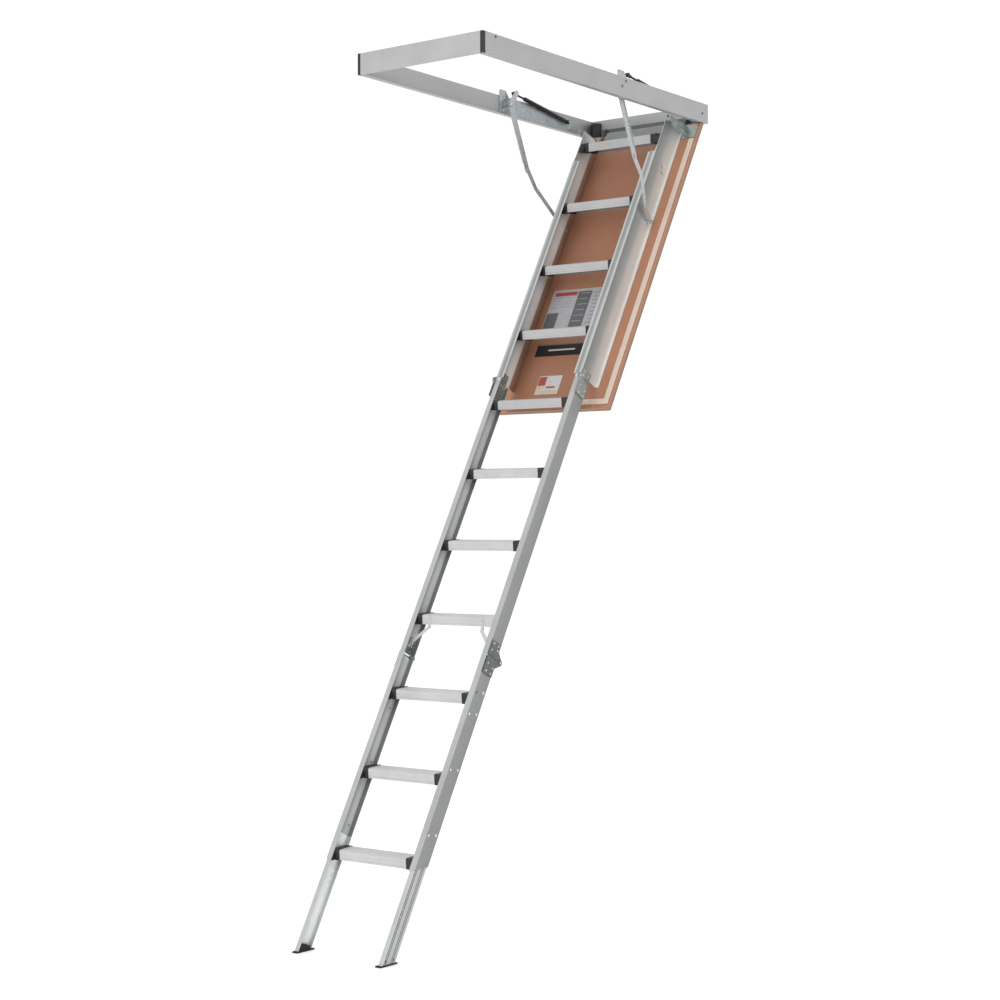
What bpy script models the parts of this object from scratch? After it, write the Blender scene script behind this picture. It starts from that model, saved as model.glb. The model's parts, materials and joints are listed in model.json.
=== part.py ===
"""Attic ladder: a hatch frame, a hinged door with the upper ladder section on it, and two more
sections that fold on top of it.  Metres, +Z up.  The hinge end of the frame is at X = 0, the
frame runs along -X, and the ladder slopes down towards -X.  The origin is at the middle of the
hinge end's outer face."""

from math import atan2, cos, hypot, pi, radians, sin

import bmesh
import bpy
from mathutils import Matrix

# ---- driving dimensions ---------------------------------------------------------------------
GAP = 0.0003                    # clearance between pieces that touch

FRAME_LENGTH = 1.365
FRAME_WIDTH = 0.550
FRAME_HEIGHT = 0.073
FRAME_WALL = 0.0025
SIDE_LIP = 0.022                # inward bottom lip of the sides and of the hinge end
FRONT_LIP = 0.0085
CORNER = 0.012                  # how far each corner seal reaches along its rails

SLOPE = radians(61.3)
TOP_X = -0.166                  # where the ladder's front plane meets the frame's bottom plane

STILE_HALF = 0.1905             # outer face of a stile's web, from the centre line
STILE_DEPTH = 0.0587
STILE_WALL = 0.002
FLANGE = 0.0212
FOOT = 0.0070                   # outward flange that lies on the door

DOOR_DEPTH = 0.1092             # from the ladder's front plane to the door's face
DOOR_HALF = 0.2698
DOOR_END = 1.217                # door's lower edge, down the slope
SKIN = 0.0028
DOOR_THICK = 0.018
HINGE_Z = -0.014                # door hinge axis below the frame's bottom plane
CLOSED_GAP = 0.004              # door face below the frame when it is shut

TREAD_FIRST = 0.0631
TREAD_PITCH = 0.2895
TREAD_SHIFT = {"upper": 0.0, "middle": 0.0139, "lower": 0.0076}
TREAD_DEEP = 0.064
TREAD_TALL = 0.034
TREAD_TILT = radians(4.0)       # nose down from level
TREAD_WALL = 0.0025
TREAD_HALF = 0.152              # aluminium part of a tread
CAP_HALF = 0.168                # full-section part of the end cap
TENON_HALF = 0.1858             # part of the cap inside the stile

FOLD_A = (1.147, -0.005)        # upper fold pivot: distance down the slope, depth
FOLD_B = (2.239, 0.074)
STILE_END = 3.000               # level cut at the foot of the lower stiles
FLOOR = 2.913                   # frame's bottom plane to the floor
LEG_TOP = 2.900
LEG_WALL = 0.0020

ARM_PIVOT = (-0.557, 0.040)     # x, height above the frame's bottom plane
ARM_KNEE = (-0.456, -0.190)
LINK_PIVOT = (-0.290, -0.405)
LEVER_TOP = (-0.520, 0.090)
STRUT_PIVOT = (-0.180, 0.041)
LINK_Y = (0.2430, 0.2450)
ARM_Y = (0.2455, 0.2475)
ARM_EDGE = 0.2505
STRUT_Y = 0.2600
PLATE_Y = (0.2692, 0.2719)

S, C = sin(SLOPE), cos(SLOPE)
HINGE_X = TOP_X + (DOOR_DEPTH - CLOSED_GAP - HINGE_Z * (1 - C)) / S
SIDES = {"left": 1, "right": -1}

for old in list(bpy.data.objects):
    bpy.data.objects.remove(old, do_unlink=True)
scene = bpy.context.scene


# ---- materials ------------------------------------------------------------------------------
def material(name, colour, roughness, metallic=0.0):
    mat = bpy.data.materials.new(name)
    mat.use_nodes = True
    shader = mat.node_tree.nodes["Principled BSDF"]
    shader.inputs["Base Color"].default_value = (*colour, 1)
    shader.inputs["Roughness"].default_value = roughness
    shader.inputs["Metallic"].default_value = metallic
    return mat


ALUMINIUM = material("aluminium", (0.56, 0.57, 0.57), 0.42, 0.9)
TREAD_METAL = material("tread_aluminium", (0.66, 0.66, 0.66), 0.38, 0.9)
FRAME_METAL = material("frame_metal", (0.50, 0.50, 0.50), 0.45, 0.6)
GALVANISED = material("galvanised", (0.42, 0.47, 0.46), 0.45, 0.8)
STEEL = material("dark_steel", (0.24, 0.26, 0.26), 0.45, 0.8)
ZINC = material("zinc", (0.62, 0.63, 0.64), 0.3, 0.9)
BLACK = material("black_plastic", (0.02, 0.02, 0.022), 0.5)
RUBBER = material("rubber", (0.018, 0.018, 0.018), 0.8)
BOARD = material("hardboard", (0.30, 0.155, 0.095), 0.6)
CORE = material("board_core", (0.36, 0.24, 0.15), 0.75)
CREAM = material("cream_foam", (0.80, 0.66, 0.54), 0.7)


# ---- shapes ---------------------------------------------------------------------------------
AXES = {"X": lambda a, b, t: (t, a, b), "Y": lambda a, b, t: (a, t, b), "Z": lambda a, b, t: (a, b, t)}


def prism(outline, lo, hi, axis="Y"):
    """Mesh of an outline carried along an axis from lo to hi."""
    place, bm = AXES[axis], bmesh.new()
    rings = [[bm.verts.new(place(a, b, t)) for a, b in outline] for t in (lo, hi)]
    for ring in rings:
        bm.faces.new(ring)
    for k in range(len(outline)):
        bm.faces.new((rings[0][k - 1], rings[0][k], rings[1][k], rings[1][k - 1]))
    bmesh.ops.recalc_face_normals(bm, faces=bm.faces)
    mesh = bpy.data.meshes.new("shape")
    bm.to_mesh(mesh)
    bm.free()
    return mesh


def box(a, b, lo, hi, axis="Y"):
    return prism([(a[0], b[0]), (a[1], b[0]), (a[1], b[1]), (a[0], b[1])], lo, hi, axis)


def ring_points(centre, radius, count=20, start=0.0, sweep=2 * pi):
    steps = count if abs(sweep) >= 2 * pi - 1e-6 else count + 1
    return [(centre[0] + radius * cos(start + sweep * k / count),
             centre[1] + radius * sin(start + sweep * k / count)) for k in range(steps)]


def rod(centre, radius, lo, hi, axis="Y", count=20):
    return prism(ring_points(centre, radius, count), lo, hi, axis)


def hull(circles, count=20):
    """Convex outline around circles given as (x, z, radius)."""
    points = sorted({(round(p[0], 7), round(p[1], 7))
                     for x, z, r in circles for p in ring_points((x, z), r, count)})
    halves = []
    for run in (points, points[::-1]):
        half = []
        for p in run:
            while len(half) > 1 and ((half[-1][0] - half[-2][0]) * (p[1] - half[-2][1])
                                     - (half[-1][1] - half[-2][1]) * (p[0] - half[-2][0])) <= 0:
                half.pop()
            half.append(p)
        halves += half[:-1]
    return halves


def mirrored(mesh):
    """The same mesh on the other side of the centre line."""
    copy = mesh.copy()
    copy.transform(Matrix.Scale(-1, 4, (0, 1, 0)))
    copy.flip_normals()
    return copy


def combined(base, shapes, operation):
    """Boolean of one mesh with others, applied."""
    body = bpy.data.objects.new("body", base)
    scene.collection.objects.link(body)
    tools = []
    for shape in shapes:
        tool = bpy.data.objects.new("tool", shape)
        scene.collection.objects.link(tool)
        tools.append(tool)
        step = body.modifiers.new("bool", "BOOLEAN")
        step.operation, step.solver, step.object = operation, "EXACT", tool
    bpy.context.view_layer.update()
    result = bpy.data.meshes.new_from_object(body.evaluated_get(bpy.context.evaluated_depsgraph_get()))
    for obj in tools + [body]:
        bpy.data.objects.remove(obj, do_unlink=True)
    bm = bmesh.new()
    bm.from_mesh(result)
    bmesh.ops.remove_doubles(bm, verts=bm.verts, dist=2e-6)
    bmesh.ops.dissolve_limit(bm, angle_limit=radians(0.2), verts=bm.verts, edges=bm.edges)
    bm.to_mesh(result)
    bm.free()
    return result


def union(base, *shapes):
    return combined(base, shapes, "UNION")


def cut(base, *shapes):
    return combined(base, shapes, "DIFFERENCE")


def add(name, mesh, mat, parent=None, location=(0, 0, 0), turn=0.0, smooth=True):
    mesh.name = name
    if not mesh.materials:
        mesh.materials.append(mat)
    obj = bpy.data.objects.new(name, mesh)
    scene.collection.objects.link(obj)
    obj.parent = parent
    obj.location = location
    obj.rotation_euler = (0, -turn, 0)
    if smooth:
        mesh.shade_smooth()
        mesh.set_sharp_from_angle(angle=radians(35))
    return obj


def pair(name, mesh, mat, parent=None, location=(0, 0, 0), turn=0.0):
    """A left piece, modelled at +Y, and its mirror image on the right."""
    add(name + "_left", mesh, mat, parent, location, turn)
    add(name + "_right", mirrored(mesh), mat, parent, location, turn)


# ---- the slope ------------------------------------------------------------------------------
def down_slope(x, z):
    """Distance down the slope and depth behind the front plane of a point in the side view."""
    return -(x - TOP_X) * C - z * S, (x - TOP_X) * S - z * C


class Group:
    """Pieces that turn together, drawn from their pivot in distance down the slope and depth."""

    def __init__(self, name, pivot, parent=None):
        self.pivot = pivot
        self.empty = bpy.data.objects.new(name, None)
        scene.collection.objects.link(self.empty)
        self.empty.empty_display_size = 0.05
        if parent is None:
            s, dep = pivot
            self.empty.location = (TOP_X - s * C + dep * S, 0, -s * S - dep * C - FRAME_HEIGHT / 2)
            self.empty.rotation_euler = (0, -SLOPE, 0)
        else:
            self.empty.parent = parent.empty
            self.empty.location = parent.at(*pivot)

    def xz(self, s, dep):
        return self.pivot[0] - s, self.pivot[1] - dep

    def at(self, s, dep):
        x, z = self.xz(s, dep)
        return x, 0, z

    def plate(self, outline, y0, y1):
        return prism([self.xz(s, dep) for s, dep in outline], y0, y1)

    def block(self, s, dep, y):
        return self.plate([(s[0], dep[0]), (s[1], dep[0]), (s[1], dep[1]), (s[0], dep[1])], *y)

    def disc(self, s, dep, radius, y0, y1, count=20):
        return rod(self.xz(s, dep), radius, y0, y1, count=count)

    def bar(self, section, s0, s1):
        """A (y, depth) section carried down the slope from s0 to s1."""
        return prism([(y, self.pivot[1] - dep) for y, dep in section],
                     self.pivot[0] - s1, self.pivot[0] - s0, "X")


door = Group("door_pivot", down_slope(HINGE_X, HINGE_Z))
middle = Group("middle_pivot", FOLD_A, door)
lower = Group("lower_pivot", FOLD_B, middle)


def level(height, dep):
    """Distance down the slope where a level plane at this height meets this depth."""
    return (-height - dep * C) / S


def channel(depth, back=FLANGE, wall=STILE_WALL, outer=STILE_HALF, front=0.0, flange=FLANGE):
    """C section with its open side towards the centre line."""
    inner, edge, rear = outer - wall, outer - flange, outer - back
    return [(edge, front), (outer, front), (outer, depth), (rear, depth),
            (rear, depth - wall), (inner, depth - wall), (inner, front + wall), (edge, front + wall)]


# ---- hatch frame ----------------------------------------------------------------------------
def hatch_frame():
    half, low, high = FRAME_WIDTH / 2, -FRAME_HEIGHT / 2, FRAME_HEIGHT / 2
    lip = (low, low + FRAME_WALL)
    side = union(box((half - FRAME_WALL, half), (low, high), -FRAME_LENGTH + CORNER + GAP, 0, "X"),
                 box((half - SIDE_LIP, half - 0.001), lip, -FRAME_LENGTH + CORNER + GAP,
                     -SIDE_LIP - GAP, "X"))
    pair("frame_side", side, FRAME_METAL)
    wall = (low, high)
    front = union(box((-FRAME_LENGTH, -FRAME_LENGTH + FRAME_WALL), wall, -half + CORNER + GAP,
                      half - CORNER - GAP),
                  box((-FRAME_LENGTH + 0.001, -FRAME_LENGTH + FRONT_LIP), lip,
                      -half + CORNER + GAP, half - CORNER - GAP))
    add("frame_front_end", front, FRAME_METAL)
    inner = half - FRAME_WALL - GAP
    hinge_end = union(box((-FRAME_WALL, 0), wall, -inner, inner),
                      box((-SIDE_LIP, -0.001), lip, -inner, inner))
    add("frame_hinge_end", hinge_end, FRAME_METAL)

    seal = [(-FRAME_LENGTH, half - CORNER), (-FRAME_LENGTH, half), (-FRAME_LENGTH + CORNER, half),
            (-FRAME_LENGTH + CORNER, half - FRAME_WALL),
            (-FRAME_LENGTH + FRAME_WALL, half - FRAME_WALL), (-FRAME_LENGTH + FRAME_WALL, half - CORNER)]
    pair("frame_corner_seal", prism(seal, low, high, "Z"), BLACK)
    chevron = [(-0.0030, 0.224), (-0.0030, 0.232), (-0.020, 0.246), (-0.0030, 0.258), (-0.0030, 0.270),
               (-0.0080, 0.270), (-0.033, 0.246), (-0.0080, 0.224)]
    pair("hinge_corner_block", prism(chevron, low + FRAME_WALL + GAP, high - 0.012, "Z"), BLACK)


def frame_hinge():
    """Steel strap inside the hinge end, with two ears down to the door's pivot pins."""
    low = -FRAME_HEIGHT / 2
    axis = (HINGE_X, low + HINGE_Z)
    face = -FRAME_WALL - GAP
    strap = box((face - 0.0022, face), (low + FRAME_WALL + GAP, low + 0.034), -0.220, 0.220)
    ear = prism(hull([(*axis, 0.0105), (face - 0.020, low + 0.0135, 0.0105), (face - 0.013, low + 0.022, 0.0105)]),
                0.1909, 0.1935)
    ear = cut(ear, box((-SIDE_LIP - GAP, 0.01), (low - 0.03, low + FRAME_WALL + GAP), 0.18, 0.20))
    link = box((face - 0.012, face - 0.0010), (low + 0.0060, low + 0.0280), 0.1909, 0.1935)
    pin = union(ear, link, rod(axis, 0.0040, 0.1830, 0.1925), rod(axis, 0.0070, 0.1815, 0.1840),
                rod(axis, 0.0065, 0.1930, 0.1955))
    add("hinge_strap", union(strap, pin, mirrored(pin)), STEEL)


# ---- door -----------------------------------------------------------------------------------
def slab(dep0, dep1, half, top=-0.0015, end=DOOR_END):
    outline = [(level(top, dep0), dep0), (end, dep0), (end, dep1), (level(top, dep1), dep1)]
    notch = door.block((-0.12, -0.024), (0.09, 0.14), (0.1795, 0.1985))
    return cut(door.plate(outline, -half, half), notch, mirrored(notch))


def door_panel():
    face, back = DOOR_DEPTH, DOOR_DEPTH + DOOR_THICK
    add("door_face", slab(face, face + SKIN, DOOR_HALF), BOARD, door.empty)
    add("door_core", slab(face + SKIN + GAP, back - SKIN - GAP, DOOR_HALF - 0.0008, end=DOOR_END - 0.0008),
        CORE, door.empty)
    add("door_back", slab(back - SKIN, back, DOOR_HALF), BOARD, door.empty)

    outer, width, end = 0.262, 0.022, 1.200
    strip = [(-outer, 0.016), (-outer, end), (outer, end), (outer, 0.016), (outer - width, 0.016),
             (outer - width, end - width), (-outer + width, end - width), (-outer + width, 0.016)]
    gasket = prism([(door.pivot[0] - s, y) for y, s in strip], door.pivot[1] - face + GAP,
                   door.pivot[1] - face + 0.0042, "Z")
    add("door_gasket", gasket, CREAM, door.empty)


def hinge_brackets():
    """Plate on the door's head beside each stile, with a gusset standing on it."""
    face = DOOR_DEPTH
    plate = door.block((-0.050, 0.012), (face - 0.0028, face - GAP), (0.1985, 0.262))
    gusset = door.plate([(-0.046, face - 0.0015), (0.002, face - 0.0015), (0.010, -0.006), (-0.010, -0.006)],
                        0.2135, 0.2157)
    lip = door.plate([(0.0002, face - 0.0015), (0.0024, face - 0.0015), (0.0060, 0.060), (0.0038, 0.060)],
                     0.2145, 0.2310)
    pair("hinge_bracket", union(plate, gusset, lip), GALVANISED, door.empty)


# ---- ladder sections ------------------------------------------------------------------------
def upper_stile():
    rear, top = DOOR_DEPTH - GAP, -0.0755
    section = [(STILE_HALF - FLANGE, 0), (STILE_HALF, 0), (STILE_HALF, rear - STILE_WALL),
               (STILE_HALF + FOOT, rear - STILE_WALL), (STILE_HALF + FOOT, rear),
               (STILE_HALF - STILE_WALL, rear), (STILE_HALF - STILE_WALL, STILE_WALL),
               (STILE_HALF - FLANGE, STILE_WALL)]
    stile = door.bar(section, top, FOLD_A[0] - GAP)
    front_cut = door.plate([(top - 0.02, -0.02), (0.147, -0.02), (0.147, 0.004), (0.145, STILE_WALL),
                            (top - 0.02, STILE_WALL)], 0.16, STILE_HALF - STILE_WALL)
    # the web's head: a slanted top edge with an ear reaching up to the pivot
    head = [(top - 0.02, -0.02), (0.147, -0.02), (0.147, -0.001), (0.120, 0.0022), (-0.002, 0.0022),
            (-0.008, 0.060), (-0.017, 0.104)]
    s, dep = door.pivot
    ear = door.plate([(s - radius_x, dep - radius_z) for radius_x, radius_z in
                      ring_points((0, 0), 0.0115, 24)], STILE_HALF - STILE_WALL, STILE_HALF)
    neck = door.plate(hull([(s, dep, 0.0113), (-0.004, 0.096, 0.0113), (0.030, 0.094, 0.0113)]),
                      STILE_HALF - STILE_WALL, STILE_HALF)
    head += [(-0.017, 0.20), (top - 0.02, 0.20)]
    stile = cut(stile, door.plate(head, 0.15, 0.20), front_cut)
    # the web narrows below the last tread, with a rounded corner
    foot = [(1.120 + 0.014 * sin(a), rear + 0.002 - 0.014 * (1 - cos(a))) for a in
            [pi / 2 * k / 6 for k in range(7)]]
    foot = [(1.117, rear + 0.01), (1.120, rear + 0.002)] + foot[1:] + [(1.134, STILE_DEPTH),
                                                                    (1.20, STILE_DEPTH), (1.20, rear + 0.01)]
    stile = cut(stile, door.plate(foot, 0.15, 0.20))
    stile = union(stile, neck, ear)
    hole = door.disc(s, dep, 0.0043, 0.18, 0.20)
    notch = door.block((-0.12, -0.0245), (DOOR_DEPTH - 0.004, 0.2), (0.15, STILE_HALF - STILE_WALL - 0.0001))
    sill = door.block((-0.0244, 0.2), (rear, 0.2), (0.15, 0.20))
    bolt = door.disc(*down_slope(*LINK_PIVOT), 0.0048, 0.18, 0.20)
    return cut(stile, hole, notch, sill, bolt)


def stiles():
    pair("upper_stile", upper_stile(), ALUMINIUM, door.empty)
    mid = middle.bar(channel(STILE_DEPTH), FOLD_A[0] + GAP, FOLD_B[0] - GAP)
    pair("middle_stile", mid, ALUMINIUM, middle.empty)

    foot_level = -STILE_END * S
    low = lower.bar(channel(STILE_DEPTH), FOLD_B[0] + GAP, STILE_END + 0.05)
    level_cut = lower.plate([(level(foot_level, -0.02), -0.02), (level(foot_level, 0.1), 0.1),
                             (STILE_END + 0.2, 0.1), (STILE_END + 0.2, -0.02)], 0.1, 0.25)
    slant = lower.plate([(FOLD_B[0] - 0.02, -0.02), (FOLD_B[0] - 0.0034, -0.02), (FOLD_B[0] + 0.0166, 0.08),
                         (FOLD_B[0] - 0.02, 0.08)], 0.1, 0.25)
    holes = [lower.disc(s + shift, dep, 0.0042, 0.18, 0.20, 12) for s in (2.368, 2.445, 2.644, 2.871)
             for dep, shift in ((0.015, 0.006), (0.047, -0.006))]
    pair("lower_stile", cut(low, level_cut, slant, *holes), ALUMINIUM, lower.empty)


def tread_outline(grow=0.0):
    """Tread seen from the side: from its front top corner, x back and z up."""
    x0, x1, z0, z1 = -grow, TREAD_DEEP + grow, -TREAD_TALL - grow, grow
    r, nose = 0.0025, 0.0040
    return [(x0, z1 - nose), (x0, z0), (x1, z0), (x1, z1 - r), (x1 - r, z1), (x0 + nose, z1),
            (x0 + nose * 0.29, z1 - nose * 0.29)]


def turned(outline):
    """From the tread's coordinates, nose down by its tilt, to the slope's own axes."""
    t, c = sin(TREAD_TILT), cos(TREAD_TILT)
    level = [(x * c - z * t, x * t + z * c) for x, z in outline]
    return [(x * C + z * S, -x * S + z * C) for x, z in level]


def tread_mesh():
    """Open-bottomed channel with ribs along its top."""
    w, rib, count = TREAD_WALL, 0.0009, 7
    pitch = (TREAD_DEEP - 0.010) / count
    outline = [(0, -0.0040), (0, -TREAD_TALL), (w, -TREAD_TALL), (w, -0.0036), (TREAD_DEEP - w, -0.0036),
               (TREAD_DEEP - w, -TREAD_TALL), (TREAD_DEEP, -TREAD_TALL), (TREAD_DEEP, -0.0025),
               (TREAD_DEEP - 0.0015, -rib)]
    for k in reversed(range(count)):
        x = 0.005 + pitch * (k + 0.5)
        outline += [(x + 0.0021, -rib), (x + 0.0013, 0), (x - 0.0013, 0), (x - 0.0021, -rib)]
    outline += [(0.0040, -rib), (0.0013, -0.0018)]
    return prism(turned(outline), -TREAD_HALF, TREAD_HALF)


def cap_mesh():
    """Moulded end: full section beside the tread, and a tenon inside the stile."""
    body = prism(turned(tread_outline(0.001)), TREAD_HALF, TENON_HALF)
    wall = LEG_WALL + STILE_WALL + 2 * GAP
    front = box((-0.2, 0.2), (-wall - 0.0003, 0.1), CAP_HALF, 0.3)
    back = box((-0.2, 0.2), (-0.2, -(STILE_DEPTH - wall - 0.0003)), CAP_HALF, 0.3)
    return cut(body, front, back)


def tread_stations(section, numbers):
    return [TREAD_FIRST + (n - 1) * TREAD_PITCH + TREAD_SHIFT[section] for n in numbers]


def treads():
    """Each tread is one piece with its two moulded ends, which are fixed to it for good."""
    cap = cap_mesh()
    mesh = union(tread_mesh(), cap, mirrored(cap))
    for section, group, numbers in (("upper", door, range(1, 5)), ("middle", middle, range(5, 9)),
                                    ("lower", lower, range(9, 12))):
        for n, s in zip(numbers, tread_stations(section, numbers)):
            add("tread_%d" % n, mesh, TREAD_METAL, group.empty, group.at(s, 0.0004))


def braces():
    """Two flat diagonal braces below the last tread of the middle section."""
    s = tread_stations("middle", [8])[0]
    d0, d1, t = 0.0175, 0.0197, 0.012
    start, end = (0.116, s + 0.0400), (0.1680, s + 0.095)
    run = hypot(end[0] - start[0], end[1] - start[1])
    ny, ns = -(end[1] - start[1]) / run * t / 2, (end[0] - start[0]) / run * t / 2
    quad = [(start[0] + ny, start[1] + ns), (end[0] + ny, end[1] + ns), (end[0] - ny, end[1] - ns),
            (start[0] - ny, start[1] - ns)]
    strip = prism([(middle.pivot[0] - b, a) for a, b in quad], middle.pivot[1] - d1,
                  middle.pivot[1] - d0, "Z")
    tab = middle.block((s + 0.078, s + 0.108), (d0, d1), (0.1610, 0.1850))
    tail = middle.block((s + 0.078, s + 0.108), (d0, 0.036), (0.1860, STILE_HALF - STILE_WALL - GAP))
    bridge = middle.block((s + 0.078, s + 0.108), (d0, d1), (0.1840, STILE_HALF - STILE_WALL - GAP))
    pair("tread_brace", union(strip, tab, bridge, tail), ALUMINIUM, middle.empty)


# ---- folding hinges -------------------------------------------------------------------------
LEAF_IN = (STILE_HALF + GAP, STILE_HALF + 0.0025)
LEAF_OUT = (STILE_HALF + 0.0028, STILE_HALF + 0.0050)


def leaf(group, pivot, far, lobe, y, spacer=None, pin=False, nose=0.004):
    """Plate riveted to a stile, with a round lobe at the pivot."""
    near = pivot[0] + (0.002 if far > pivot[0] else -0.002)
    span = sorted((near, far))
    reach = 0.030 if pivot[1] > 0 else 0.026
    plate = group.block(span, (nose, 0.055), y)
    inside = pivot[0] + (reach if far > pivot[0] else -reach), 0.030 if pivot[1] < 0 else 0.036
    arm = group.plate(hull([(*pivot, lobe), (*inside, 0.012)]), *y)
    shapes = [arm]
    if spacer:
        shapes.append(group.block(sorted(spacer), (0.006, 0.053), (STILE_HALF + GAP, y[0] + 0.0005)))
    mid, side = (near + far) / 2, (far - near) / abs(far - near)
    for s, dep in ((mid - 0.006 * side, 0.015), (far - 0.009 * side, 0.017), (mid + 0.002 * side, 0.045),
                   (far - 0.009 * side, 0.043)):
        shapes.append(group.disc(s, dep, 0.0042, y[1] - 0.0005, y[1] + 0.0016, 12))
    body = union(plate, *shapes)
    if pin:
        return union(body, group.disc(*pivot, 0.0035, y[1] - 0.001, LEAF_OUT[1] + 0.0010, 16),
                     group.disc(*pivot, 0.0062, LEAF_OUT[1] + GAP, LEAF_OUT[1] + 0.0026, 16))
    return cut(body, group.disc(*pivot, 0.0038, 0.18, 0.22, 16))


def fold_hinges():
    a, b = FOLD_A, FOLD_B
    for name, group, shape in (
            ("upper_hinge_leaf", door, leaf(door, a, a[0] - 0.036, 0.010, LEAF_IN, pin=True)),
            ("middle_top_leaf", middle, leaf(middle, a, a[0] + 0.066, 0.010, LEAF_OUT,
                                               (a[0] + 0.022, a[0] + 0.064), nose=-0.0060)),
            ("middle_foot_leaf", middle, leaf(middle, b, b[0] - 0.056, 0.011, LEAF_IN, pin=True)),
            ("lower_hinge_leaf", lower, leaf(lower, b, b[0] + 0.062, 0.011, LEAF_OUT,
                                               (b[0] + 0.028, b[0] + 0.060)))):
        pair(name, shape, STEEL, group.empty)


# ---- legs and shoes -------------------------------------------------------------------------
def legs():
    """Ribbed channel inside each lower stile, with a rubber shoe bolted in its foot."""
    outer, front, rear = STILE_HALF - STILE_WALL - GAP, STILE_WALL + GAP, STILE_DEPTH - STILE_WALL - GAP
    inner, edge, wall = outer - LEG_WALL, 0.1722, LEG_WALL
    sole = 0.0045
    section = [(edge, front), (outer, front)]
    for k in range(7):
        mid = front + (rear - front) * (k + 1) / 8
        section += [(outer, mid - 0.0017), (outer - 0.0011, mid - 0.0009), (outer - 0.0011, mid + 0.0009),
                    (outer, mid + 0.0017)]
    section += [(outer, rear), (edge, rear), (edge, rear - wall), (inner, rear - wall), (inner, front + wall),
                (edge, front + wall)]
    foot_level = -FLOOR + sole + GAP
    for name, sign in SIDES.items():
        group = Group("leg_pivot_" + name, (FLOOR / S, STILE_DEPTH / 2), lower)
        bar = group.bar(section, LEG_TOP, FLOOR / S + 0.05)
        trim = group.plate([(level(foot_level, -0.02), -0.02), (level(foot_level, 0.1), 0.1),
                            (FLOOR / S + 0.2, 0.1), (FLOOR / S + 0.2, -0.02)], 0.1, 0.25)
        bores = [group.disc(s, dep, 0.0030, 0.18, 0.20, 12) for s, dep in
                 ((3.126, 0.013), (3.151, 0.013), (3.076, 0.046), (3.052, 0.046), (3.025, 0.046))]
        leg = cut(bar, trim, *bores)
        under, over = -FLOOR, -FLOOR + sole
        pad = group.plate([(level(under, -0.004), -0.004), (level(under, 0.0645), 0.0645),
                           (level(over, 0.0645), 0.0645), (level(over, -0.004), -0.004)], 0.1660, 0.1915)
        lug = group.plate([(level(over - 0.001, 0.008), 0.008), (level(over - 0.001, 0.050), 0.050),
                           (level(over + 0.010, 0.048), 0.048), (level(over + 0.022, 0.012), 0.012)],
                          0.1735, inner - GAP)
        shoe = union(pad, lug)
        if sign < 0:
            leg, shoe = mirrored(leg), mirrored(shoe)
        add("leg_" + name, leg, ALUMINIUM, group.empty)
        add("shoe_" + name, shoe, RUBBER, group.empty)


# ---- arms and gas struts --------------------------------------------------------------------
def lift(point):
    return point[0], 0, point[1] - FRAME_HEIGHT / 2


def along(start, end):
    """Length and angle of the line between two points of the side view."""
    return hypot(end[0] - start[0], end[1] - start[1]), atan2(end[1] - start[1], end[0] - start[0])


def arm_brackets():
    """Tapering plate on each side's inner face, its post, and the pins that stand on it."""
    shift = FRAME_HEIGHT / 2
    taper = [(-0.548, 0.0030), (-0.548, 0.070), (-0.520, 0.072), (-0.190, 0.060), (-0.150, 0.048),
             (-0.128, 0.012), (-0.128, 0.0030)]
    post = [(-0.596, 0.0030), (-0.596, 0.091), (-0.592, 0.095), (-0.560, 0.095), (-0.556, 0.091),
            (-0.540, 0.072), (-0.540, 0.0030)]
    plate = prism([(x, z - shift) for x, z in taper], *PLATE_Y)
    post = prism([(x, z - shift) for x, z in post], PLATE_Y[0] - 0.0006, PLATE_Y[1])

    px, _, pz = lift(ARM_PIVOT)
    sx, _, sz = lift(STRUT_PIVOT)
    pin = union(rod((px, pz), 0.0045, ARM_Y[0] - 0.001, PLATE_Y[0] + 0.001),
                rod((px, pz), 0.0085, ARM_Y[0] - 0.0030, ARM_Y[0] - GAP))
    stud = union(rod((sx, sz), 0.0030, STRUT_Y - 0.0090, PLATE_Y[0] + 0.001),
                 rod((sx, sz), 0.0055, STRUT_Y - 0.0115, STRUT_Y - 0.0083))
    pair("arm_bracket", union(plate, post, pin, stud), GALVANISED)


def upper_arms():
    length, turn = along(ARM_PIVOT, ARM_KNEE)
    lever, lever_turn = along(ARM_PIVOT, LEVER_TOP)
    tip = (lever * cos(lever_turn - turn), lever * sin(lever_turn - turn))
    blade = prism(hull([(0, 0, 0.0145), (length, 0, 0.0125)]), *ARM_Y)
    crank = prism(hull([(0, 0, 0.0145), (*tip, 0.0100)]), *ARM_Y)
    folds = [box((0.040, length - 0.030), (z, z + 0.0016), ARM_Y[0], ARM_EDGE) for z in (-0.0128, 0.0112)]
    stud = rod(tip, 0.0035, ARM_Y[1] - 0.001, STRUT_Y - 0.0078 - GAP)
    nut = rod((length, 0), 0.0070, ARM_Y[1] - 0.0005, ARM_Y[1] + 0.0033, count=6)
    arm = cut(union(blade, crank, *folds, stud, nut), rod((0, 0), 0.0048, 0.2, 0.3))
    pair("upper_arm", arm, GALVANISED, None, lift(ARM_PIVOT), turn)


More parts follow.
